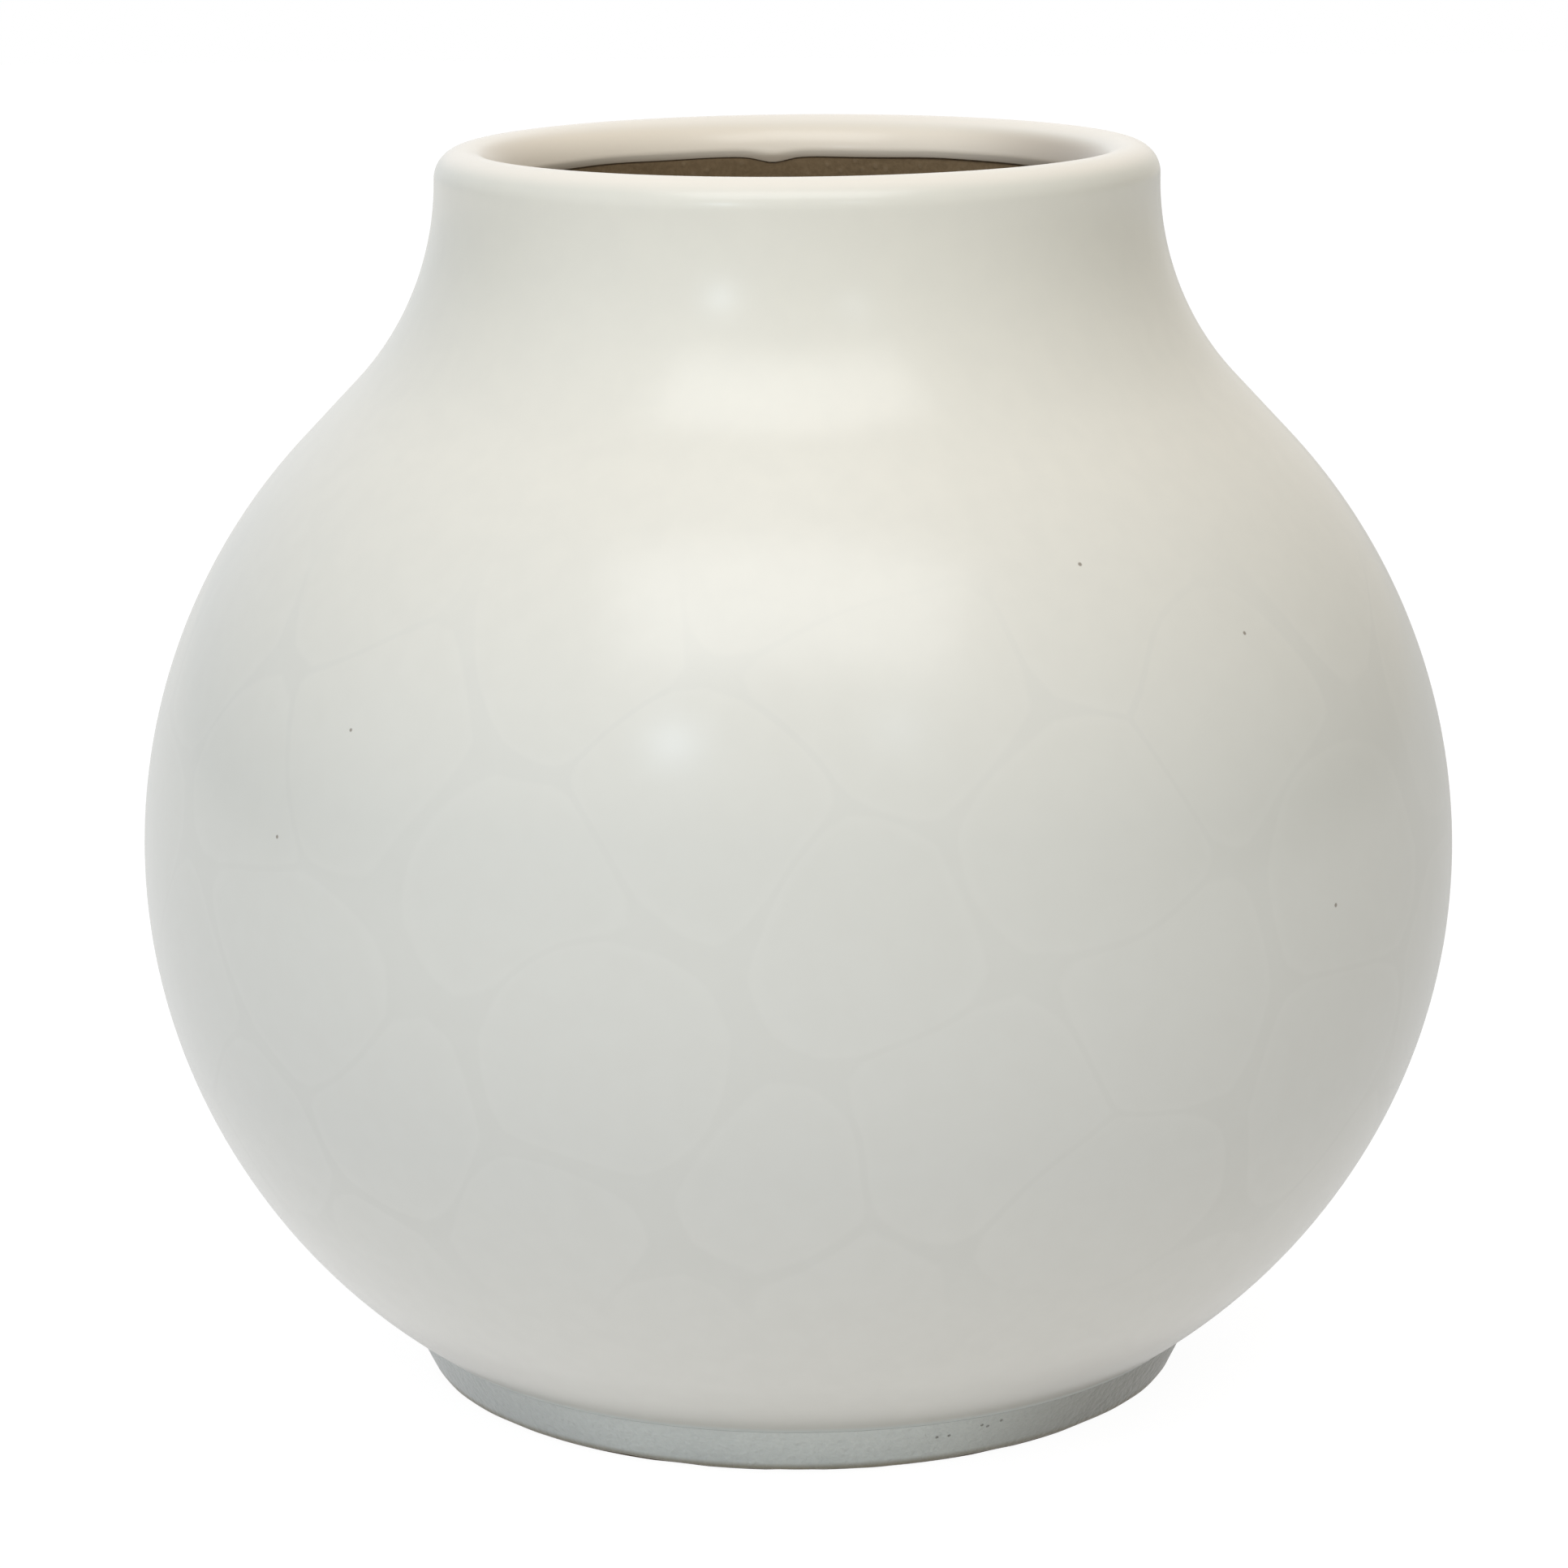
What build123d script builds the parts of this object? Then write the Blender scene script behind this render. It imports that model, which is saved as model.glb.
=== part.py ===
from build123d import *
import os
from math import asin, atan2, cos, degrees, sin, sqrt

# White moon jar: two thrown bowls closed rim to rim, with a thrown neck, a foot ring and a glaze coat.
# The jar stands on the XY plane with its axis on Z. Every piece is a section in the XZ plane, turned
# about Z. Sizes are in millimetres after firing, and the outline is measured over the glaze.

# Outline of the jar
belly_radius = 150.0      # widest point of the belly
belly_height = 121.2      # height of the widest point above the floor
mouth_radius = 81.3       # outside of the lip
rim_height = 281.4        # top of the lip above the floor
neck_height = 59.6        # from the neck's joint up to the top of the lip
shoulder_run = 18.6       # straight stretch where the belly's curve turns into the neck's
crease_radius = 94.1      # where the belly meets the foot
foot_height = 12.2        # height of that crease above the floor

# Walls of clay
clay_wall = 8.8           # bowls and shoulder
lip_radius = 6.6          # rounding of the lip outside, from its crest
lip_inside = 8.0          # the lip's softer curve inside, across from its crest
floor_thickness = 10.0    # bottom of the lower bowl
floor_curve = 60.0        # inside curve from the floor up into the wall
foot_taper = 5.9          # how far the foot draws in towards the floor
foot_width = 12.0         # width of the foot ring
foot_rounding = 0.5       # worn edges of the foot ring at the floor

# Joints of slip
slip_thickness = 1.0      # bed of slip in each joint
key_depth = 3.0           # depth of the V groove and tongue in the two rims
slip_ridge = 2.5          # ridge of slip squeezed out inside the waist
slip_fillet = 3.0         # slip smoothed into the corner inside the foot ring

# Coats of glaze
glaze_coat = 0.8          # white glaze
glaze_inside = 10.0       # how far it runs down inside the mouth, as the lip's curve does
foot_coat = 0.4           # thin glaze on the outside of the foot ring
coat_clearance = 0.1      # hairline between that coat and the foot's clay
bare_foot = 0.5           # bare clay left under the foot's glaze

os.makedirs("parts", exist_ok=True)


# Curve of the belly below its widest point: it leaves that point upright and passes the crease.
crease_inset = belly_radius - crease_radius
crease_drop = belly_height - foot_height
lower_curve = (crease_inset**2 + crease_drop**2) / (2 * crease_inset)
lower_centre = (belly_radius - lower_curve, belly_height)

# Curves above the widest point: an arc for the belly and a hollow arc for the neck, upright at the
# widest point and at the lip, with the straight shoulder as their common tangent.
lip_height = rim_height - lip_radius
neck_inset = belly_radius - mouth_radius
neck_rise = lip_height - belly_height
both_curves = (neck_inset**2 + neck_rise**2 - shoulder_run**2) / (2 * neck_inset)
slope = atan2(neck_rise, both_curves - neck_inset) - atan2(shoulder_run, both_curves)
joint_height = rim_height - neck_height
upper_curve = (joint_height - belly_height - shoulder_run / 2 * cos(slope)) / sin(slope)
upper_centre = (belly_radius - upper_curve, belly_height)

# Depths below the glazed surface, and where the clay's own surfaces end
inner_depth = glaze_coat + clay_wall
middle_depth = glaze_coat + clay_wall / 2
floor_top = foot_height + floor_thickness
crease_angle = asin(crease_drop / (lower_curve - glaze_coat))
floor_angle = asin((belly_height - floor_top) / (lower_curve - inner_depth))
crest = mouth_radius - lip_radius
edge_height = rim_height - glaze_inside
clay_throat = (crest - lip_inside + glaze_coat, edge_height)


def jar_line(depth, top, lower_angle):
    """Draw the jar's line at a depth below the glaze, upright at its top, and return its lower end."""
    lower_radius = lower_curve - depth
    lower = CenterArc(lower_centre, lower_radius, -degrees(lower_angle), degrees(lower_angle))
    upper = CenterArc(upper_centre, upper_curve - depth, 0, degrees(slope))
    reach = (top[0] - upper_centre[0]) * cos(slope) + (top[1] - upper_centre[1]) * sin(slope)
    bend = (reach - upper_curve + depth) / (1 - cos(slope))
    neck = CenterArc((top[0] + bend, top[1]), bend, 180 + degrees(slope), -degrees(slope))
    Line(upper @ 1, neck @ 0)
    return lower @ 0


def outer_line(depth):
    """Draw the jar's line outside, at a depth below the glaze, and return its lower end."""
    return jar_line(depth, (mouth_radius - depth, lip_height), crease_angle)


def lip_line(depth):
    """Draw the lip at a depth below the glaze, over its crest and down to the edge of the glaze."""
    CenterArc((crest, lip_height), lip_radius - depth, 0, 90)
    EllipticalCenterArc((crest, edge_height), lip_inside - depth, glaze_inside - depth, 90, arc_size=90)


# The whole wall of clay, from the floor to the lip, before the joints are cut
with BuildSketch(Plane.XZ) as wall_section:
    with BuildLine():
        base_edge = outer_line(glaze_coat)
        floor_edge = jar_line(inner_depth, clay_throat, floor_angle)
        lip_line(glaze_coat)
        Polyline(base_edge, (0, foot_height), (0, floor_top), floor_edge)
    make_face()
    fillet(wall_section.vertices().sort_by_distance(floor_edge)[0], floor_curve)

# Joint at the waist: a V across the wall, as thick as the slip
waist_middle = belly_radius - middle_depth
waist_low = belly_height - slip_thickness / 2
waist_high = belly_height + slip_thickness / 2
with BuildSketch(Plane.XZ) as waist_seam:
    with BuildLine():
        Polyline(
            (waist_middle - clay_wall, waist_low + key_depth),
            (waist_middle, waist_low - key_depth),
            (waist_middle + clay_wall, waist_low + key_depth),
            (waist_middle + clay_wall, waist_high + key_depth),
            (waist_middle, waist_high - key_depth),
            (waist_middle - clay_wall, waist_high + key_depth),
            close=True,
        )
    make_face()

# Joint of the neck: square across the wall, halfway along the straight shoulder
joint_reach = upper_curve - middle_depth
neck_joint = (
    upper_centre[0] + joint_reach * cos(slope) - shoulder_run / 2 * sin(slope),
    upper_centre[1] + joint_reach * sin(slope) + shoulder_run / 2 * cos(slope),
)
with BuildSketch(Plane.XZ) as neck_seam:
    with Locations(neck_joint):
        Rectangle(2 * clay_wall, slip_thickness, rotation=degrees(slope))

# The wall cut at its two joints gives the sections of the three thrown pieces.
with BuildSketch(Plane.XZ) as cut_wall:
    add(wall_section.sketch_local)
    add(waist_seam.sketch_local, mode=Mode.SUBTRACT)
    add(neck_seam.sketch_local, mode=Mode.SUBTRACT)
lower_section, upper_section, neck_section = cut_wall.sketch.faces().sort_by(Axis.Z)

# Lower bowl, with its floor and the V groove in its rim
with BuildPart() as lower_bowl:
    revolve(lower_section, axis=Axis.Z)
lower_bowl.part.label = "lower_bowl"
export_step(lower_bowl.part, "parts/lower_bowl.step")

# Upper bowl, set rim down on the lower one, with the V tongue on its rim
with BuildPart() as upper_bowl:
    revolve(upper_section, axis=Axis.Z)
upper_bowl.part.label = "upper_bowl"
export_step(upper_bowl.part, "parts/upper_bowl.step")

# Neck collar with its rolled lip
with BuildPart() as neck_collar:
    revolve(neck_section, axis=Axis.Z)
neck_collar.part.label = "neck_collar"
export_step(neck_collar.part, "parts/neck_collar.step")

# Slip at the waist, with the ridge that was squeezed out on the inside
with BuildPart() as waist_slip:
    with BuildSketch(Plane.XZ):
        add(waist_seam.sketch_local)
        add(wall_section.sketch_local, mode=Mode.INTERSECT)
    with BuildSketch(Plane.XZ):
        with Locations((belly_radius - inner_depth, belly_height)):
            Circle(slip_ridge)
        add(wall_section.sketch_local, mode=Mode.SUBTRACT)
    revolve(axis=Axis.Z)
waist_slip.part.label = "waist_slip"
export_step(waist_slip.part, "parts/waist_slip.step")

# Slip under the neck collar, wiped flush on both sides
with BuildPart() as neck_slip:
    with BuildSketch(Plane.XZ):
        add(neck_seam.sketch_local)
        add(wall_section.sketch_local, mode=Mode.INTERSECT)
    revolve(axis=Axis.Z)
neck_slip.part.label = "neck_slip"
export_step(neck_slip.part, "parts/neck_slip.step")

# Outer side of the foot, one straight taper from the crease to the floor
clay_crease = base_edge.X
foot_outer = clay_crease - foot_taper
foot_inner = foot_outer - foot_width
ring_top = foot_height - slip_thickness


def foot_side(height):
    """Radius of the foot's clay side at a height above the floor."""
    return foot_outer + foot_taper * height / foot_height


# Foot ring, flat where it stands and rounded at both edges
with BuildPart() as foot_ring:
    with BuildSketch(Plane.XZ) as ring_section:
        with BuildLine():
            Polyline(
                (foot_inner, 0),
                (foot_outer, 0),
                (foot_side(ring_top), ring_top),
                (foot_inner, ring_top),
                close=True,
            )
        make_face()
        fillet(ring_section.vertices().group_by(Axis.Y)[0], foot_rounding)
    revolve(axis=Axis.Z)
foot_ring.part.label = "foot_ring"
export_step(foot_ring.part, "parts/foot_ring.step")

# Slip between the foot ring and the floor, smoothed into the corner inside the ring
with BuildPart() as foot_slip:
    with BuildSketch(Plane.XZ):
        with BuildLine():
            fillet_centre = (foot_inner - slip_fillet, foot_height - slip_fillet)
            corner = CenterArc(fillet_centre, slip_fillet, 0, 90)
            Polyline(
                corner @ 1,
                (clay_crease, foot_height),
                (foot_side(ring_top), ring_top),
                (foot_inner, ring_top),
                corner @ 0,
            )
        make_face()
    revolve(axis=Axis.Z)
foot_slip.part.label = "foot_slip"
export_step(foot_slip.part, "parts/foot_slip.step")

# White glaze: one coat from the crease over the belly, neck and lip to its edge inside the mouth
with BuildPart() as white_glaze:
    with BuildSketch(Plane.XZ) as glaze_section:
        with BuildLine():
            Line(outer_line(0), outer_line(glaze_coat))
            lip_line(0)
            lip_line(glaze_coat)
            Line((crest - lip_inside, edge_height), clay_throat)
        make_face()
    revolve(axis=Axis.Z)
white_glaze.part.label = "white_glaze"
export_step(white_glaze.part, "parts/white_glaze.step")

# Foot glaze: a thin coat on the foot's side, from under the white glaze down to the bare edge
foot_stretch = sqrt(foot_taper**2 + foot_height**2) / foot_height
coat_inside = coat_clearance * foot_stretch
coat_outside = (coat_clearance + foot_coat) * foot_stretch
with BuildPart() as foot_glaze:
    with BuildSketch(Plane.XZ):
        with BuildLine():
            Polyline(
                (foot_side(bare_foot) + coat_inside, bare_foot),
                (foot_side(bare_foot) + coat_outside, bare_foot),
                (clay_crease + coat_outside, foot_height),
                (clay_crease + coat_inside, foot_height),
                close=True,
            )
        make_face()
        add(glaze_section.sketch_local, mode=Mode.SUBTRACT)
    revolve(axis=Axis.Z)
foot_glaze.part.label = "foot_glaze"
export_step(foot_glaze.part, "parts/foot_glaze.step")
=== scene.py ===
import bpy
import math
import random
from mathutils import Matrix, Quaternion


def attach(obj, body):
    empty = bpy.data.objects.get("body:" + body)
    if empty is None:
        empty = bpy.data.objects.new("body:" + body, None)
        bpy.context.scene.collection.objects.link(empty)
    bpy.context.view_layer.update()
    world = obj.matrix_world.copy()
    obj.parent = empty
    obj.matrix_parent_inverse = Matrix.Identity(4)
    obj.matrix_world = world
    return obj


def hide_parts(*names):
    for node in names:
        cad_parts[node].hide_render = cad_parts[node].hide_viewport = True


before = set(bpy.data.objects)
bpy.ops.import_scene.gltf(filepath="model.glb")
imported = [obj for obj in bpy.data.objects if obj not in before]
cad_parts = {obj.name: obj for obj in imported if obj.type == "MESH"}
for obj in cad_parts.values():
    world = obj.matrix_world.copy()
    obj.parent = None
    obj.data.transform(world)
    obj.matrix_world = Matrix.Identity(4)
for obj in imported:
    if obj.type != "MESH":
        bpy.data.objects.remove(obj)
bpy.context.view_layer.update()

# Lower bowl
# The bottom half of the jar, thrown in brown stoneware with a thick floor. Its rim has a V groove for the
# bowl that is set on it, its base is turned flat, and the rings of the potter's fingers stay inside.
belly_radius = 0.150
belly_height = 0.1212
mouth_radius = 0.0813
rim_height = 0.2814
neck_height = 0.0596
shoulder_run = 0.0186
crease_radius = 0.0941
foot_height = 0.0122
clay_wall = 0.0088
lip_radius = 0.0066
lip_inside = 0.0080
floor_thickness = 0.010
floor_curve = 0.060
slip_thickness = 0.001
key_depth = 0.003
glaze_coat = 0.0008
glaze_inside = 0.010
finger_pitch = 0.009
finger_height = 0.0006
finger_start = 0.010
joint_calm = 0.012
turning_pitch = 0.0032
turning_depth = 0.00022
turning_reach = 0.0695
turning_fade = 0.004
base_hollow = 0.0006
hollow_reach = 0.066
turned_edge = 0.0725
plain_radii = [0.078, 0.084]
first_mark = 0.001
hair = 0.00001
weld_distance = 0.000008

crease_inset = belly_radius - crease_radius
crease_drop = belly_height - foot_height
lower_curve = (crease_inset**2 + crease_drop**2) / (2 * crease_inset)
lip_height = rim_height - lip_radius
neck_inset = belly_radius - mouth_radius
neck_rise = lip_height - belly_height
both_curves = (neck_inset**2 + neck_rise**2 - shoulder_run**2) / (2 * neck_inset)
slope = math.atan2(neck_rise, both_curves - neck_inset) - math.atan2(shoulder_run, both_curves)
joint_rise = rim_height - neck_height - belly_height
upper_curve = (joint_rise - shoulder_run / 2 * math.cos(slope)) / math.sin(slope)
crease_angle = math.asin(crease_drop / (lower_curve - glaze_coat))
inner_depth = glaze_coat + clay_wall
floor_top = foot_height + floor_thickness


def spread(start, end, count):
    """Evenly spaced numbers from start to end."""
    return [start + (end - start) * step / (count - 1) for step in range(count)]


def arc(centre, radius, start, end, count):
    """Points on a circle in the section, from one angle to another."""
    angles = spread(start, end, count)
    return [(centre[0] + radius * math.cos(a), centre[1] + radius * math.sin(a)) for a in angles]


def wall(station, depth, top=None):
    """Point of the jar's section at a station up its wall and a depth below the glaze.

    Stations 0 to 1 are the belly below its widest point and 1 to 2 the belly above it, 2 to 3 are the
    straight shoulder, and 3 to 4 the hollow neck, which stands upright at its top.
    """
    if station < 1:
        reach = lower_curve - depth
        angle = crease_angle * (station - 1)
        radius = belly_radius - lower_curve + reach * math.cos(angle)
        return (radius, belly_height + reach * math.sin(angle))
    top = top or (mouth_radius - depth, lip_height)
    aside = top[0] - belly_radius + upper_curve
    above = top[1] - belly_height
    across = aside * math.cos(slope) + above * math.sin(slope)
    bend = (across - upper_curve + depth) / (1 - math.cos(slope))
    along = above * math.cos(slope) - aside * math.sin(slope)
    straight = along - bend * math.sin(slope) - shoulder_run
    travel = max(station - 3, 0) * (straight + bend * slope)
    if station > 3 and travel > straight:
        angle = slope - (travel - straight) / bend
        return (top[0] + bend - bend * math.cos(angle), top[1] - bend * math.sin(angle))
    reach = upper_curve - depth
    angle = slope * min(station - 1, 1)
    run = shoulder_run * min(max(station - 2, 0), 1) + travel
    radius = belly_radius - upper_curve + reach * math.cos(angle) - run * math.sin(angle)
    return (radius, belly_height + reach * math.sin(angle) + run * math.cos(angle))


def marked(points):
    """Give each point of a thrown inside its distance along that inside as its mark, never 0."""
    travelled = first_mark
    last = points[0]
    line = []
    for point in points:
        travelled += math.dist(point, last)
        line.append((*point, travelled))
        last = point
    return line


def turned(name, line, steps):
    """Draw a section point by point, spin it about the jar's axis, and keep each point's mark."""
    bpy.ops.object.select_all(action="DESELECT")
    bpy.ops.mesh.primitive_plane_add(size=0.001)
    piece = bpy.context.object
    piece.name = piece.data.name = name
    bpy.ops.object.mode_set(mode="EDIT")
    bpy.ops.mesh.merge(type="CENTER")
    bpy.ops.transform.translate(value=(line[0][0], 0, line[0][1]))
    for last, point in zip(line, line[1:]):
        move = (point[0] - last[0], 0, point[1] - last[1])
        bpy.ops.mesh.extrude_region_move(TRANSFORM_OT_translate={"value": move})
    bpy.ops.object.mode_set(mode="OBJECT")
    marks = piece.data.attributes.new("mark", "FLOAT", "POINT")
    for point, mark in zip(line, marks.data):
        mark.value = point[2] if len(point) > 2 else 0
    bpy.ops.object.mode_set(mode="EDIT")
    bpy.ops.mesh.select_all(action="SELECT")
    bpy.ops.mesh.spin(steps=steps, angle=2 * math.pi, center=(0, 0, 0), axis=(0, 0, 1))
    bpy.ops.mesh.select_all(action="SELECT")
    bpy.ops.mesh.remove_doubles(threshold=weld_distance)
    bpy.ops.mesh.normals_make_consistent(inside=False)
    bpy.ops.object.mode_set(mode="OBJECT")
    bpy.ops.object.shade_smooth()
    return piece


def press(piece, move):
    """Move every point of a piece one by one: move gets a point's place and mark and gives its new place.
    """
    marks = [mark.value for mark in piece.data.attributes["mark"].data]
    for vertex, mark in zip(piece.data.vertices, marks):
        vertex.co = move(*vertex.co, mark)
    piece.data.update()


def smooth(value):
    """Ease from 0 to 1."""
    value = min(max(value, 0), 1)
    return value * value * (3 - 2 * value)


def finger_rings(x, y, z, mark):
    """Throwing rings: one groove that climbs the inside in a spiral, away from the joints."""
    if mark == 0:
        return (x, y, z)
    angle = math.atan2(y, x)
    reach = math.hypot(x, y)
    joint_gap = min(abs(z - belly_height) / joint_calm, 1)
    ripple = 0.5 + 0.5 * math.cos(2 * math.pi * mark / finger_pitch - angle)
    wander = 0.75 + 0.25 * math.sin(2 * angle + mark * 60)
    raised = finger_height * ripple * wander * smooth(joint_gap) * smooth(reach / finger_start)
    away = math.hypot(reach, belly_height - z)
    return (
        x - raised * x / away,
        y - raised * y / away,
        z + raised * (belly_height - z) / away,
    )


def turned_base(x, y, z, mark):
    """Turning marks of the tool under the base, and its slight hollow, inside the foot ring."""
    x, y, z = finger_rings(x, y, z, mark)
    reach = math.hypot(x, y)
    if mark == 0 and z < foot_height + hair and reach < turning_reach:
        angle = math.atan2(y, x)
        groove = 0.5 - 0.5 * math.cos(2 * math.pi * reach / turning_pitch - angle)
        hollow = base_hollow * smooth(1 - reach / hollow_reach)
        z += turning_depth * groove * smooth((turning_reach - reach) / turning_fade) + hollow
    return (x, y, z)


fillet_height = floor_top + floor_curve
fillet_reach = lower_curve - inner_depth - floor_curve
fillet_drop = belly_height - fillet_height
fillet_radius = belly_radius - lower_curve + math.sqrt(fillet_reach**2 - fillet_drop**2)
fillet_angle = math.asin(fillet_drop / fillet_reach)
wall_start = 1 - fillet_angle / crease_angle
waist_low = belly_height - slip_thickness / 2
waist_high = belly_height + slip_thickness / 2
waist_middle = belly_radius - glaze_coat - clay_wall / 2
waist_outside = belly_radius - glaze_coat
waist_inside = belly_radius - inner_depth

base_radii = spread(0, turned_edge, 88) + plain_radii
lower_line = [(radius, foot_height) for radius in base_radii]
lower_line += [wall(station, glaze_coat) for station in spread(0, 0.99, 34)]
lower_line += [(waist_outside, waist_low), (waist_middle, waist_low - key_depth)]
bowl_inside = [(radius, floor_top) for radius in spread(0, fillet_radius, 66)]
bowl_inside += arc((fillet_radius, fillet_height), floor_curve, -math.pi / 2, -fillet_angle, 52)[1:]
bowl_inside += [wall(station, inner_depth) for station in spread(wall_start, 0.985, 72)][1:]
bowl_inside.append((waist_inside, waist_low))
lower_line += marked(bowl_inside)[::-1]
lower_bowl = turned("lower_bowl_thrown", lower_line, 176)
press(lower_bowl, turned_base)


class Flow:
    """A value that changes over a surface: a shader socket, where arithmetic adds Math nodes."""

    def __init__(self, socket):
        self.socket = socket

    def node(self, kind, settings, sockets, output=0):
        """Add any other node: its settings first, then the values or links of its sockets."""
        tree = self.socket.id_data
        made = tree.nodes.new(kind)
        for setting, value in settings.items():
            if setting == "stops":
                ramp = made.color_ramp.elements
                for number, (place, colour) in enumerate(value):
                    stop = ramp[number] if number < 2 else ramp.new(place)
                    stop.position = place
                    stop.color = (*colour, 1)
            else:
                setattr(made, setting, value)
        for key, value in sockets.items():
            if isinstance(value, Flow):
                tree.links.new(value.socket, made.inputs[key])
            else:
                made.inputs[key].default_value = value
        return Flow(made.outputs[output])

    def maths(self, operation, first, second):
        """Add a Math node on two values or numbers."""
        return self.node("ShaderNodeMath", {"operation": operation}, {0: first, 1: second})

    def __add__(self, other):
        return self.maths("ADD", self, other)

    def __sub__(self, other):
        return self.maths("SUBTRACT", self, other)

    def __mul__(self, other):
        return self.maths("MULTIPLY", self, other)

    def __radd__(self, other):
        return self.maths("ADD", other, self)

    def __rsub__(self, other):
        return self.maths("SUBTRACT", other, self)

    def __rmul__(self, other):
        return self.maths("MULTIPLY", other, self)

    def least(self, other):
        return self.maths("MINIMUM", self, other)

    def most(self, other):
        return self.maths("MAXIMUM", self, other)

    def fade(self, start, end):
        """Ease from 0 to 1 as the value goes from start to end."""
        edges = {"Value": self, "From Min": start, "From Max": end}
        return self.node("ShaderNodeMapRange", {"interpolation_type": "SMOOTHSTEP"}, edges)

    def noise(self, size, detail=2):
        """Cloudy noise over places, with lumps of about the given size in metres."""
        sockets = {"Vector": self, "Scale": 1 / size, "Detail": detail}
        return self.node("ShaderNodeTexNoise", {}, sockets)

    def paint(self, under, over):
        """Lay one colour over another, with the value as the mask."""
        return self.node("ShaderNodeMix", {"data_type": "RGBA"}, {0: self, 6: under, 7: over}, 2)

    def axis(self, number):
        """One coordinate of a place: 0 goes right, 1 goes back and 2 goes up."""
        return self.node("ShaderNodeSeparateXYZ", {}, {0: self}, number)

    def distance(self, spot):
        """Distance from places to one spot."""
        return self.node("ShaderNodeVectorMath", {"operation": "DISTANCE"}, {0: self, 1: spot}, 1)

    def near_spots(self, spots):
        """Distance to the nearest of some spots, each given as a turn, a radius and a height."""
        nearest = None
        for turn, radius, height in spots:
            gap = self.distance((radius * math.cos(turn), radius * math.sin(turn), height))
            nearest = nearest.least(gap) if nearest else gap
        return nearest

    def feed(self, socket):
        """Link the value to a socket."""
        self.socket.id_data.links.new(self.socket, socket)


def new_finish(name):
    """Start a material. Gives the material, its shader and the places on the surface."""
    material = bpy.data.materials.new(name)
    material.use_nodes = True
    nodes = material.node_tree.nodes
    place = Flow(nodes.new("ShaderNodeTexCoord").outputs["Object"])
    return material, nodes["Principled BSDF"], place


mottle_size = 0.045
grain_size = 0.0011
grit_size = 0.0038


def bare_clay(name, dark, pale, grit):
    """Unglazed fired clay: mottled by the fire, with grains of grit and a dry, matt surface."""
    material, shader, place = new_finish(name)
    mottle = place.noise(mottle_size, 4)
    grain = place.noise(grain_size, 6)
    grits = place.node("ShaderNodeTexVoronoi", {}, {"Vector": place, "Scale": 1 / grit_size})
    tone = mottle.fade(0.32, 0.68) * 0.65 + grain.fade(0.3, 0.7) * 0.35
    colour = tone.paint((*dark, 1), (*pale, 1))
    colour = (grits.fade(0.2, 0.1) * 0.12).paint(colour, (*grit, 1))
    colour.feed(shader.inputs["Base Color"])
    (0.78 + mottle * 0.16).feed(shader.inputs["Roughness"])
    relief = grain * 0.8 + grits.fade(0.3, 0.1) * 0.3
    bump = place.node("ShaderNodeBump", {}, {"Strength": 0.45, "Distance": 0.0004, "Height": relief})
    bump.feed(shader.inputs["Normal"])
    return material


clay_dark = (0.162, 0.109, 0.053)
clay_pale = (0.255, 0.178, 0.096)
clay_grit = (0.38, 0.3, 0.2)
brown_clay = bare_clay("brown_clay_fired", clay_dark, clay_pale, clay_grit)
lower_bowl.data.materials.append(brown_clay)
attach(lower_bowl, "root")
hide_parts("lower_bowl")

# Waist slip
# A bed of thick clay slip between the two rims. It was squeezed out when the upper bowl was pressed down,
# and inside, out of the potter's reach, it stays as a lumpy ridge around the waist.
slip_ridge = 0.0025
ridge_sink = 0.0006
ridge_seat = waist_inside + ridge_sink
waist_line = [(waist_outside, waist_low), (waist_outside, waist_high)]
waist_line += [(waist_middle, waist_high - key_depth), (ridge_seat, waist_high)]
ridge = arc((waist_inside, belly_height), slip_ridge, math.pi / 2, math.pi * 1.5, 21)
waist_line += [(*point, 1) for point in ridge]
waist_line += [(ridge_seat, waist_low), (waist_middle, waist_low - key_depth), waist_line[0]]
waist_slip = turned("waist_slip_squeezed", waist_line, 288)


def lumpy_ridge(x, y, z, mark):
    """The squeezed ridge: thick and thin by turns, and a little up and down."""
    if mark == 0:
        return (x, y, z)
    angle = math.atan2(y, x)
    swell = 0.72 + 0.2 * math.sin(5 * angle + 1)
    swell += 0.16 * math.sin(13 * angle)
    swell += 0.1 * math.sin(29 * angle + 2)
    sway = 0.0006 * math.sin(3 * angle + 0.5) + 0.0003 * math.sin(17 * angle)
    reach = math.hypot(x, y)
    rise = waist_inside - reach
    pressed = waist_inside - rise * swell if rise > 0 else reach
    height = belly_height + (z - belly_height) * (0.8 + 0.25 * swell) + sway * smooth(rise / 0.001)
    return (x * pressed / reach, y * pressed / reach, height)


press(waist_slip, lumpy_ridge)
slip_dark = (0.16, 0.112, 0.07)
slip_pale = (0.255, 0.19, 0.128)
slip_grit = (0.36, 0.3, 0.23)
slip_clay = bare_clay("joining_slip_fired", slip_dark, slip_pale, slip_grit)
waist_slip.data.materials.append(slip_clay)
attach(waist_slip, "root")
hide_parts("waist_slip")

# Upper bowl
# The top half of the belly, thrown as a second bowl and turned over. Its rim has a V tongue that seats in
# the groove below, and its bottom was cut open for the neck.
joint_share = slip_thickness / 2 / shoulder_run
neck_low = 2.5 - joint_share
neck_high = 2.5 + joint_share
rim_tilt = 0.0001
rim_sink = 1.2
neck_lean = 0.0008
lean_start = 0.190


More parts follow.
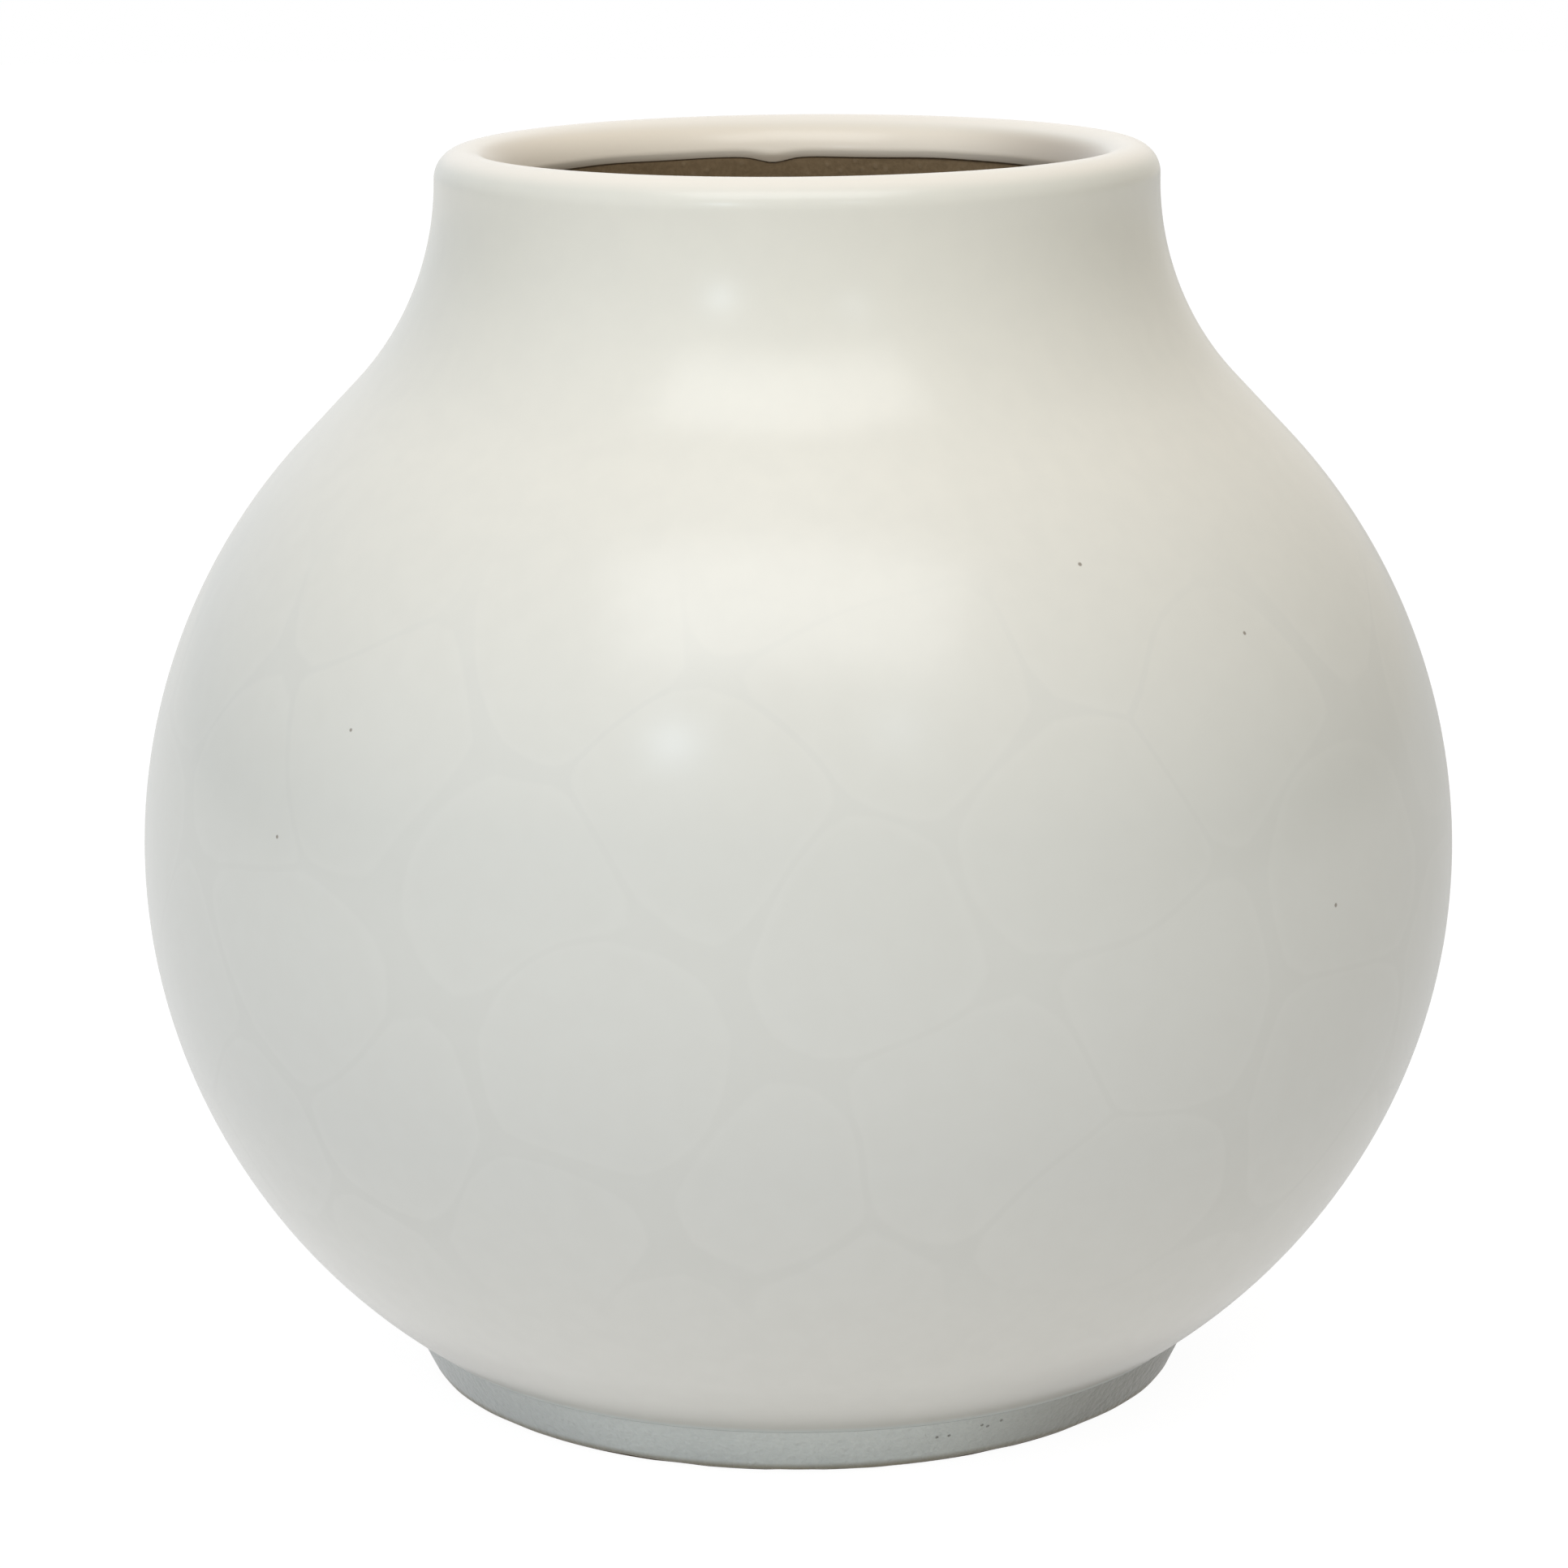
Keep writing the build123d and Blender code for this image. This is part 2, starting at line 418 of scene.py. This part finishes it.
def leaning(x, y, z, mark):
    """The top of a thrown jar is never quite true: the neck leans and the rim sinks to one side."""
    x, y, z = finger_rings(x, y, z, mark)
    share = max(z - lean_start, 0) ** 2 / (rim_height - lean_start) ** 2
    return (x + neck_lean * share, y, z + share * rim_tilt * (x / mouth_radius - rim_sink))


upper_line = [(waist_outside, waist_high)]
upper_line += [wall(station, glaze_coat) for station in spread(1.02, neck_low, 40)]
upper_inside = [(waist_inside, waist_high)]
upper_inside += [wall(station, inner_depth) for station in spread(1.02, neck_low, 112)]
upper_line += marked(upper_inside)[::-1]
upper_line += [(waist_middle, waist_high - key_depth), upper_line[0]]
upper_bowl = turned("upper_bowl_thrown", upper_line, 176)
press(upper_bowl, leaning)
upper_bowl.data.materials.append(brown_clay)
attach(upper_bowl, "root")
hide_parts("upper_bowl")

# Neck slip
# The thin bed of slip between the upper bowl and the neck, wiped flush on both sides.
neck_slip_line = [wall(neck_low, depth) for depth in spread(glaze_coat, inner_depth, 6)]
neck_slip_line += [wall(neck_high, depth) for depth in spread(inner_depth, glaze_coat, 6)]
neck_slip_line.append(neck_slip_line[0])
neck_slip = turned("neck_slip_wiped", neck_slip_line, 176)
press(neck_slip, leaning)
neck_slip.data.materials.append(slip_clay)
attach(neck_slip, "root")
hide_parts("neck_slip")

# Neck collar
# The neck, thrown on its own as a flaring ring of the same clay. Its lip is rolled over to a full round,
# with a softer curve on the inside.
crest = mouth_radius - lip_radius
edge_height = rim_height - glaze_inside
clay_throat = (crest - lip_inside + glaze_coat, edge_height)
rings_end = 0.262


def lip(depth, count):
    """Points of the lip at a depth below the glaze, over its crest and down to the glaze's edge inside."""
    points = arc((crest, lip_height), lip_radius - depth, 0, math.pi / 2, count)
    for angle in spread(math.pi / 2, math.pi, count + 4)[1:]:
        radius = crest + (lip_inside - depth) * math.cos(angle)
        points.append((radius, edge_height + (glaze_inside - depth) * math.sin(angle)))
    return points


neck_line = [wall(station, glaze_coat) for station in spread(neck_high, 4, 40)]
neck_line += lip(glaze_coat, 10)[1:]
neck_inside = [wall(station, inner_depth, clay_throat) for station in spread(neck_high, 3.99, 64)]
neck_line += marked(neck_inside)[::-1]
neck_line.append(neck_line[0])
neck_collar = turned("neck_thrown", neck_line, 176)


def leaning_neck(x, y, z, mark):
    """The neck leans, and its finger rings die out under the glazed lip."""
    return leaning(x, y, z, mark if z < rings_end else 0)


press(neck_collar, leaning_neck)
neck_collar.data.materials.append(brown_clay)
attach(neck_collar, "root")
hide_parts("neck_collar")

# Foot slip
# Slip between the turned base and the foot ring, drawn with a finger into the corner inside the ring.
foot_taper = 0.0059
foot_width = 0.012
slip_fillet = 0.003
finger_dip = 0.00025
finger_edge = 0.0006
clay_crease = wall(0, glaze_coat)[0]
foot_outer = clay_crease - foot_taper
foot_inner = foot_outer - foot_width
ring_top = foot_height - slip_thickness


def foot_side(height):
    """Radius of the foot's clay side at a height."""
    return foot_outer + foot_taper * height / foot_height


corner_centre = (foot_inner - slip_fillet, foot_height - slip_fillet)
foot_slip_line = [(*point, 1) for point in arc(corner_centre, slip_fillet, 0, math.pi / 2, 15)]
foot_slip_line += [(clay_crease, foot_height), (foot_side(ring_top), ring_top), (foot_inner, ring_top)]
foot_slip_line.append(foot_slip_line[0])
foot_slip = turned("foot_slip_smoothed", foot_slip_line, 240)


def drawn_corner(x, y, z, mark):
    """The finger's track in the corner, a little deeper and shallower around the ring."""
    if mark == 0:
        return (x, y, z)
    angle = math.atan2(y, x)
    reach = math.hypot(x, y)
    inset = min(foot_inner - reach, foot_height - z)
    press_in = 1 + math.sin(7 * angle) * math.sin(3 * angle + 1)
    dip = finger_dip * press_in * smooth(inset / finger_edge)
    return (x * (reach + dip) / reach, y * (reach + dip) / reach, z + dip)


press(foot_slip, drawn_corner)
foot_slip.data.materials.append(slip_clay)
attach(foot_slip, "root")
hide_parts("foot_slip")

# Foot ring
# A ring of the same clay, thrown and luted under the base. It is flat where it stands, and that face and
# its rounded edges are bare, rubbed and a little darker than the inside of the jar.
foot_rounding = 0.0005
side_start = 0.001
rubbed_height = 0.0012
rubbed_dip = 0.00016
side_angle = math.atan2(foot_taper, foot_height)
outer_share = foot_rounding / math.tan(math.pi / 4 + side_angle / 2)
outer_centre = (foot_outer - outer_share, foot_rounding)
inner_centre = (foot_inner + foot_rounding, foot_rounding)
ring_line = arc(inner_centre, foot_rounding, math.pi, math.pi * 1.5, 9)
ring_line += [(radius, 0) for radius in spread(inner_centre[0], outer_centre[0], 14)][1:-1]
ring_line += arc(outer_centre, foot_rounding, -math.pi / 2, -side_angle, 9)
ring_line += [(foot_side(height), height) for height in spread(side_start, ring_top, 10)]
ring_line += [(radius, ring_top) for radius in spread(foot_side(ring_top), foot_inner, 6)][1:]
ring_line += [(foot_inner, height) for height in spread(ring_top, foot_rounding, 10)][1:]
foot_ring = turned("foot_ring_turned", ring_line, 256)


def rubbed_edge(x, y, z, mark):
    """Small dips in the standing face, where the clay was set down wet; most of the ring still stands."""
    if z > rubbed_height:
        return (x, y, z)
    angle = math.atan2(y, x)
    dips = math.sin(11 * angle) * math.sin(4 * angle + 0.7) + 0.6 * math.sin(23 * angle + 1)
    return (x, y, z + rubbed_dip * smooth(dips - 0.2))


press(foot_ring, rubbed_edge)
rubbed_dark = (0.105, 0.078, 0.046)
rubbed_pale = (0.17, 0.13, 0.082)
rubbed_grit = (0.28, 0.23, 0.16)
foot_clay = bare_clay("foot_clay_rubbed", rubbed_dark, rubbed_pale, rubbed_grit)
foot_ring.data.materials.append(foot_clay)
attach(foot_ring, "root")
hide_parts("foot_ring")

# Foot glaze
# A thin dip of the same glaze on the foot's side, grey-blue where it lies thin over the brown clay. It has
# an orange-peel skin with a few pinholes, and it is wiped off just above the standing edge.
foot_coat = 0.0004
coat_clearance = 0.0001
bare_foot = 0.0005
wipe_wander = 0.00022
wipe_fade = 0.002
wiped_rounding = 0.0002
wiped_bead = 0.00005
coat_top_gap = 0.0004
foot_peel_size = 0.0017
foot_cloud_size = 0.03
shade_right_span = (0.015, 0.08)
shade_left_span = (-0.03, -0.08)
foot_edge_heights = (0.0026, 0.0006)
pit_radii = (0.0004, 0.0002)
pit_depth = 1.5
side_stretch = 1 / math.cos(side_angle)
coat_inside = coat_clearance * side_stretch
coat_outside = (coat_clearance + foot_coat) * side_stretch
glaze_end = wall(0, 0)


def coat_side(height, reach):
    """Point of the foot's coat at a height and a reach out from the clay."""
    return (foot_side(height) + reach, height)


outside_heights = spread(bare_foot + wiped_rounding, glaze_end[1], 28)
inside_heights = spread(foot_height - coat_top_gap, bare_foot, 28)
coat_line = [coat_side(height, coat_outside) for height in outside_heights]
coat_line += [coat_side(height, coat_inside) for height in inside_heights]
coat_line += [coat_side(bare_foot - wiped_bead, coat_outside * 0.6), coat_line[0]]
foot_glaze = turned("foot_glaze_dipped", coat_line, 320)


def wiped_edge(x, y, z, mark):
    """The wiped lower edge wanders up and down around the foot."""
    angle = math.atan2(y, x)
    wander = 0.5 * math.sin(6 * angle + 1) + 0.3 * math.sin(15 * angle) + 0.2 * math.sin(34 * angle + 2)
    return (x, y, z + wipe_wander * wander * smooth(1 - (z - bare_foot) / wipe_fade))


press(foot_glaze, wiped_edge)
grey_glaze, foot_shader, foot_place = new_finish("grey_glaze_thin")
foot_peel = foot_place.noise(foot_peel_size, 2)
foot_cloud = foot_place.noise(foot_cloud_size, 3)
foot_up = foot_place.axis(2)
foot_right = foot_place.axis(0)
foot_tone = foot_cloud.fade(0.3, 0.7) * 0.6 + foot_peel.fade(0.3, 0.7) * 0.4
foot_grey = (0.63, 0.66, 0.64, 1)
foot_pale_grey = (0.72, 0.75, 0.72, 1)
foot_shade_right = (0.33, 0.33, 0.30, 1)
foot_shade_left = (0.56, 0.58, 0.56, 1)
foot_brown_edge = (0.28, 0.25, 0.18, 1)
foot_colour = foot_tone.paint(foot_grey, foot_pale_grey)
# Painted shade: the foot's glaze is painted darker towards its sides, most on the right.
foot_colour = foot_right.fade(*shade_right_span).paint(foot_colour, foot_shade_right)
foot_colour = foot_right.fade(*shade_left_span).paint(foot_colour, foot_shade_left)
foot_colour = foot_up.fade(*foot_edge_heights).paint(foot_colour, foot_brown_edge)

# Pinholes: five as they lie on the front, and seven around the back
pit_brown = (0.16, 0.14, 0.11, 1)
front_pits = [(-71.3, 0.0071), (-69.5, 0.0071), (-64.7, 0.0086), (-63.7, 0.0080), (-61.7, 0.0089)]
pit_places = [(math.radians(degrees), height) for degrees, height in front_pits]
pit_places += [(0.4 + number * 0.38, 0.006) for number in range(7)]
pits = [(turn, foot_side(height) + coat_outside, height) for turn, height in pit_places]
pit_mask = foot_place.near_spots(pits).fade(*pit_radii)
foot_colour = (pit_mask * 0.6).paint(foot_colour, pit_brown)
foot_colour.feed(foot_shader.inputs["Base Color"])
(0.3 + foot_peel * 0.1).feed(foot_shader.inputs["Roughness"])
foot_bump = {"Strength": 0.8, "Distance": 0.0008, "Height": foot_peel - pit_mask * pit_depth}
foot_place.node("ShaderNodeBump", {}, foot_bump).feed(foot_shader.inputs["Normal"])
foot_glaze.data.materials.append(grey_glaze)
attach(foot_glaze, "root")
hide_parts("foot_glaze")

# White glaze
# One poured coat of satin white glaze over the belly, shoulder and neck. It draws thin and peach over the
# rolled lip, hangs in scallops inside the mouth and ends in a soft edge in the crease above the foot.
cove_start = 0.03
cove_height = 0.0110
coat_gap = 0.00002
edge_gap = 0.00004
edge_drop = 0.0003
edge_roll = 0.0006
drip_turn = math.radians(94.5)
drip_width = 0.065
drip_length = 0.0013
scallop_length = 0.00022
scallop_lift = 0.0008
coat_swell = 0.00012
swell_start = 0.02
swell_rise = 0.04
cove_top = wall(cove_start, 0)
cove_foot = (foot_side(cove_height) + coat_outside + coat_gap, cove_height)
glaze_line = []
for share in spread(0, 1, 15)[:-1]:
    low, middle, high = (1 - share) ** 2, 2 * share * (1 - share), share**2
    glaze_line.append(tuple(
        low * foot + middle * crease + high * top
        for foot, crease, top in zip(cove_foot, glaze_end, cove_top)
    ))
glaze_line += [wall(station, 0) for station in spread(cove_start, 4, 156)]
for radius, height in lip(0, 20)[1:]:
    hang = (rim_height - height) / glaze_inside if radius < crest else 0
    glaze_line.append((radius + edge_roll * smooth((hang - 0.8) / 0.2), height, hang))
glaze_line.append((clay_throat[0] - edge_gap, edge_height - edge_drop, 1))
for radius, height in lip(glaze_coat, 14)[::-1]:
    hang = (rim_height - height) / glaze_inside if radius < crest else 0
    glaze_line.append((radius, height, hang))
glaze_line += [wall(station, glaze_coat) for station in spread(4, 0, 60)][1:]
glaze_line += [(glaze_end[0] + edge_gap, glaze_end[1]), glaze_line[0]]
white_glaze = turned("white_glaze_poured", glaze_line, 272)


def poured(x, y, z, mark):
    """The poured coat: a slow swell over the belly, scallops inside the mouth, and the lean of the neck."""
    angle = math.atan2(y, x)
    reach = math.hypot(x, y)
    if mark > 0:
        scallop = 0.5 * math.sin(5 * angle + 0.4)
        scallop += 0.35 * math.sin(9 * angle + 2)
        scallop += 0.2 * math.sin(16 * angle)
        drip = math.exp(-(((angle - drip_turn) / drip_width) ** 2))
        z -= mark**2 * (scallop_length * scallop + drip_length * drip - scallop_lift)
    swell = coat_swell * (math.sin(3 * angle + z * 31) - 1.3) * smooth((z - swell_start) / swell_rise)
    return leaning(x + x / reach * swell, y + y / reach * swell, z, 0)


press(white_glaze, poured)

# Colours of the coat from the crease up to the lip: partly the glaze's own tone, partly painted light and
# shade that makes some heights lighter and others darker
coat_tone_and_shade = [
    (0.04, (0.712, 0.697, 0.636)),
    (0.10, (0.80, 0.785, 0.735)),
    (0.30, (0.70, 0.70, 0.663)),
    (0.55, (0.68, 0.68, 0.633)),
    (0.79, (0.788, 0.762, 0.682)),
    (0.92, (0.73, 0.714, 0.636)),
]
white_coat, coat_shader, coat_place = new_finish("white_glaze_satin")
coat_right, coat_back, coat_up = (coat_place.axis(number) for number in range(3))
flat_sockets = {0: coat_place, 1: (1, 1, 0)}
coat_flat = coat_place.node("ShaderNodeVectorMath", {"operation": "MULTIPLY"}, flat_sockets)
coat_reach = coat_flat.distance((0, 0, 0))
coat_share = coat_up * (1 / rim_height)
coat_colour = coat_share.node("ShaderNodeValToRGB", {"stops": coat_tone_and_shade}, {0: coat_share})
grain_grey = (0.62, 0.61, 0.56, 1)
coat_grain_size = 0.006
coat_grain = coat_place.noise(coat_grain_size, 6)
coat_colour = (coat_grain.fade(0.25, 0.75) * 0.1).paint(coat_colour, grain_grey)

# Pebble marks: faint rounded shapes in the coat, spread around the belly, with darker gaps between them
pebble_count = 92
pebble_reach = 0.0296
bend_size = 0.045
bend_reach = 0.02
pebble_bottom = (0.045, 0.068)
pebble_top = (0.214, 0.178)
pebble_pale = (0.76, 0.755, 0.71, 1)
pebble_grey = (0.61, 0.61, 0.57, 1)
chance = random.Random(7)
noise_sockets = {"Vector": coat_place, "Scale": 1 / bend_size, "Detail": 0}
pebble_bend = coat_place.node("ShaderNodeTexNoise", {}, noise_sockets, 1)
bend_sockets = {0: pebble_bend, 1: (bend_reach, bend_reach, bend_reach), 2: coat_place}
pebble_place = coat_place.node("ShaderNodeVectorMath", {"operation": "MULTIPLY_ADD"}, bend_sockets)
gaps = []
for number, level in enumerate(spread(-0.80, 0.70, pebble_count)):
    up = level + chance.uniform(-0.03, 0.03)
    turn = number * math.pi * (3 - math.sqrt(5)) + chance.uniform(-0.07, 0.07)
    side = math.sqrt(1 - up * up)
    reach = belly_radius * chance.uniform(0.96, 1.0)
    centre = (reach * side * math.cos(turn), reach * side * math.sin(turn), belly_height + reach * up)
    gaps.append(pebble_place.distance(centre))
nearest = gaps[0].least(gaps[1])
second = gaps[0].most(gaps[1])
for gap in gaps[2:]:
    second = second.least(gap.most(nearest))
    nearest = nearest.least(gap)
pebble_press = (second - nearest).fade(0.01, 0.0) * 0.004
pebble_gap = (nearest + pebble_press).fade(pebble_reach - 0.001, pebble_reach + 0.0014)
pebble_gap = pebble_gap.most((second - nearest).fade(0.002, 0.0006))
pebble_rim = (nearest + pebble_press).fade(pebble_reach - 0.006, pebble_reach - 0.001)
pebble_zone = coat_up.fade(*pebble_bottom) * coat_up.fade(*pebble_top)
coat_colour = (pebble_rim * pebble_zone * 0.08).paint(coat_colour, pebble_pale)
coat_colour = (pebble_gap * pebble_zone * 0.16).paint(coat_colour, pebble_grey)

# Peach lip where the glaze draws thin, with painted light that makes it palest at the back, and the lip's
# inside, with painted shade at its sides and browner at its edge
peach_crest = (0.93, 0.86, 0.765, 1)
peach_inside = (0.88, 0.79, 0.66, 1)
brown_side_shade = (0.52, 0.45, 0.365, 1)
brown_edge = (0.42, 0.33, 0.22, 1)
crest_heights = (0.2776, 0.2808)
crest_back_light = (-0.03, 0.05)
inside_radii = (0.0712, 0.0684)
inside_edge_heights = (0.2732, 0.2716)
lip_offset = 0.010
# The peach is the glaze drawn thin over the crest; its extra strength at the back is painted light on the
# far crest.
lip_thin_and_light = coat_up.fade(*crest_heights) * (0.7 + coat_back.fade(*crest_back_light) * 0.17)
coat_colour = lip_thin_and_light.paint(coat_colour, peach_crest)
lip_inner = coat_reach.fade(*inside_radii)
coat_colour = (lip_inner * 0.85).paint(coat_colour, peach_inside)
# Painted shade: the lip's inside is painted darker and browner towards its sides, most on the right.
lip_skew = coat_right + lip_offset
lip_side_shade_mask = (lip_skew * lip_skew).fade(0.0016, 0.0056) * lip_inner
coat_colour = (lip_side_shade_mask * 0.9).paint(coat_colour, brown_side_shade)
lip_edge = coat_up.fade(*inside_edge_heights) * lip_inner
coat_colour = (lip_edge * 0.5).paint(coat_colour, brown_edge)

# Painted shade low in the crease, deeper at the sides, and the coat's grey end against the foot's glaze
crease_shade_grey = (0.5, 0.48, 0.43, 1)
crease_side_shade_grey = (0.45, 0.43, 0.385, 1)
cove_grey = (0.64, 0.67, 0.645, 1)
crease_heights = (0.022, 0.0125)
crease_side_heights = (0.034, 0.013)
cove_heights = (0.0130, 0.0112)
crease_offset = 0.008
# Painted shade: the coat is painted greyer low in the crease, and darker still towards its sides, most on
# the right.
crease_shade_mask = coat_up.fade(*crease_heights)
coat_colour = (crease_shade_mask * 0.3).paint(coat_colour, crease_shade_grey)
crease_skew = coat_right + crease_offset
crease_side_shade_mask = (crease_skew * crease_skew).fade(0.0006, 0.0055)
crease_side_shade_mask = coat_up.fade(*crease_side_heights) * crease_side_shade_mask
coat_colour = (crease_side_shade_mask * 0.7).paint(coat_colour, crease_side_shade_grey)
crease_end = coat_up.fade(*cove_heights)
coat_colour = crease_end.paint(coat_colour, cove_grey)

# Iron specks: the first five as they lie on the front, the rest strewn over the other sides
iron_brown = (0.19, 0.15, 0.11, 1)
speck_radii = (0.0006, 0.0003)
speck_places = [(-61.5, 205.0), (-131.4, 171.2), (-45.4, 187.9), (-138.0, 146.9), (-41.2, 130.2)]
speck_places += [(chance.uniform(-20, 200), chance.uniform(40, 215)) for _ in range(8)]
specks = []
for degrees, millimetres in speck_places:
    rise = millimetres / 1000 - belly_height
    curve = upper_curve if rise > 0 else lower_curve
    reach = belly_radius - curve + math.sqrt(curve**2 - rise**2)
    specks.append((math.radians(degrees), reach, belly_height + rise))
speck_mask = coat_place.near_spots(specks).fade(*speck_radii)
coat_colour = (speck_mask * 0.75).paint(coat_colour, iron_brown)

coat_colour.feed(coat_shader.inputs["Base Color"])
coat_peel_size = 0.0022
coat_peel = coat_place.noise(coat_peel_size, 2)
coat_shader.inputs["Roughness"].default_value = 0.25
coat_bump = {"Strength": 0.015, "Distance": 0.0002, "Height": coat_peel}
coat_place.node("ShaderNodeBump", {}, coat_bump).feed(coat_shader.inputs["Normal"])
white_glaze.data.materials.append(white_coat)
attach(white_glaze, "root")
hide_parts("white_glaze")

# The marks only served the shaping, so they are taken off
pieces = [lower_bowl, waist_slip, upper_bowl, neck_slip, neck_collar]
pieces += [foot_slip, foot_ring, foot_glaze, white_glaze]
for piece in pieces:
    piece.data.attributes.remove(piece.data.attributes["mark"])

# Floor and surroundings
# A pale floor that the camera sees as white with a faint shadow. The studio around it is white too, and
# lights the jar most from the front, from behind and from above, cooler on its left.
bpy.ops.object.select_all(action="DESELECT")
bpy.ops.mesh.primitive_plane_add(size=8)
floor = bpy.context.object
floor.name = "studio_floor"
floor_paint = bpy.data.materials.new("studio_floor_paint")
floor_paint.use_nodes = True
floor_nodes = floor_paint.node_tree.nodes
floor_nodes.clear()
floor_output = floor_nodes.new("ShaderNodeOutputMaterial")
floor_path = floor_nodes.new("ShaderNodeLightPath")
floor_camera = Flow(floor_path.outputs["Is Camera Ray"])
floor_seen = floor_camera.most(Flow(floor_path.outputs["Is Glossy Ray"]))
floor_place = Flow(floor_nodes.new("ShaderNodeTexCoord").outputs["Object"])
floor_right = floor_place.axis(0)
white = (1, 1, 1, 1)
# Painted shade: for light bounced onto the jar, and in the glaze's reflections where the floor glows, the
# floor is painted darker towards the right.
bounce_left = (0.835, 0.835, 0.83, 1)
bounce_right = (0.76, 0.76, 0.755, 1)
mirrored_left = (0.92, 0.92, 0.92, 1)
mirrored_right = (0.64, 0.64, 0.64, 1)
shadow_grey = (0.12, 0.12, 0.12, 1)
bounce_span = (-0.4, 0.4)
mirrored_span = (-0.3, 0.6)
floor_brightness = 0.95
left_bounce = floor_seen.node("ShaderNodeBsdfDiffuse", {}, {"Color": bounce_left})
right_bounce = floor_seen.node("ShaderNodeBsdfDiffuse", {}, {"Color": bounce_right})
bounce_sockets = {0: floor_right.fade(*bounce_span), 1: left_bounce, 2: right_bounce}
floor_bounce = floor_seen.node("ShaderNodeMixShader", {}, bounce_sockets)
floor_shadow = floor_seen.node("ShaderNodeBsdfDiffuse", {}, {"Color": shadow_grey})
floor_mirrored = floor_right.fade(*mirrored_span).paint(mirrored_left, mirrored_right)
floor_white = floor_camera.paint(floor_mirrored, white)
glow_sockets = {"Color": floor_white, "Strength": floor_brightness}
floor_glow = floor_seen.node("ShaderNodeEmission", {}, glow_sockets)
floor_look = floor_seen.node("ShaderNodeAddShader", {}, {0: floor_shadow, 1: floor_glow})
floor_mix = floor_seen.node("ShaderNodeMixShader", {}, {0: floor_seen, 1: floor_bounce, 2: floor_look})
floor_mix.feed(floor_output.inputs["Surface"])
floor.data.materials.append(floor_paint)

studio = bpy.data.worlds.new("white_studio")
bpy.context.scene.world = studio
studio.use_nodes = True
studio_nodes = studio.node_tree.nodes
studio_nodes.clear()
studio_output = studio_nodes.new("ShaderNodeOutputWorld")
studio_seen = Flow(studio_nodes.new("ShaderNodeLightPath").outputs["Is Camera Ray"])
studio_way = Flow(studio_nodes.new("ShaderNodeTexCoord").outputs["Generated"])
studio_right, studio_back, studio_top = (studio_way.axis(number) for number in range(3))
front_skew = 0.20
front_power = 0.71
back_power = 0.95
low_left_dip = 0.6
low_left_power = 0.25
top_power = 0.51
top_sides_power = 0.35
studio_above = studio_top.most(0)
front_light = (studio_back * -1 - studio_right * front_skew).most(0) * front_power
back_light = studio_back.most(0) * studio_back * back_power
low_left_light = (studio_right * -1 - studio_top * low_left_dip).most(0) * low_left_power
top_sides_light = studio_right * studio_right * studio_above * top_sides_power
top_light = studio_above * top_power + top_sides_light
studio_light = front_light + back_light + low_left_light + top_light
cool_left = (0.94, 0.99, 1.06, 1)
warm_right = (1.06, 1.005, 0.91, 1)
studio_tint = studio_right.fade(-1, 1).paint(cool_left, warm_right)
studio_glow = studio_seen.node("ShaderNodeBackground", {}, {"Color": studio_tint, "Strength": studio_light})
studio_white = studio_seen.node("ShaderNodeBackground", {}, {"Color": white, "Strength": 1})
studio_mix = studio_seen.node("ShaderNodeMixShader", {}, {0: studio_seen, 1: studio_glow, 2: studio_white})
studio_mix.feed(studio_output.inputs["Surface"])

# Lamps
# A wide softbox above and in front of the jar, and lower down a small cool lamp on each side, the right
# one faint.
cool = (0.72, 0.86, 1)
softbox_aim = (0, -0.12, 0.2)
shoulder_aim = (0, -0.1, 0.2)
softbox_size = (1.2, 0.55)
small_size = (0.036, 0.036)


def lamp(name, place, aim, size, power, colour):
    """An oblong lamp at a place, turned towards a point."""
    light = bpy.data.lights.new(name, "AREA")
    light.shape = "RECTANGLE"
    light.size, light.size_y = size
    light.energy = power
    light.color = colour
    holder = bpy.data.objects.new(name, light)
    bpy.context.scene.collection.objects.link(holder)
    holder.location = place
    way = [a - p for a, p in zip(aim, place)]
    holder.rotation_euler = (
        math.atan2(math.hypot(way[0], way[1]), -way[2]),
        0,
        math.atan2(-way[0], way[1]),
    )


lamp("softbox", (-0.03, -0.68, 1.2), softbox_aim, softbox_size, power=5.3, colour=white[:3])
lamp("left_lamp", (-0.245, -0.615, 0.505), shoulder_aim, small_size, power=0.16, colour=cool)
lamp("right_lamp", (0.19, -0.61, 0.53), shoulder_aim, small_size, power=0.06, colour=cool)

# Camera
# At the height and distance that the picture of the jar was taken from, a little left of its axis, and
# rolled by half a degree as the picture is.
camera_place = (-0.00323, -1.0380, 0.3779)
tilt_degrees = 13.2135
roll_degrees = -0.467
lens = bpy.data.cameras.new("camera")
lens.sensor_width = 36
lens.lens = 106.03
camera = bpy.data.objects.new("camera", lens)
bpy.context.scene.collection.objects.link(camera)
camera.location = camera_place
camera.rotation_mode = "QUATERNION"
pitch = Quaternion((1, 0, 0), math.radians(90 - tilt_degrees))
roll = Quaternion((0, 0, 1), math.radians(roll_degrees))
camera.rotation_quaternion = pitch @ roll
bpy.context.scene.camera = camera
bpy.context.scene.view_settings.view_transform = "Standard"
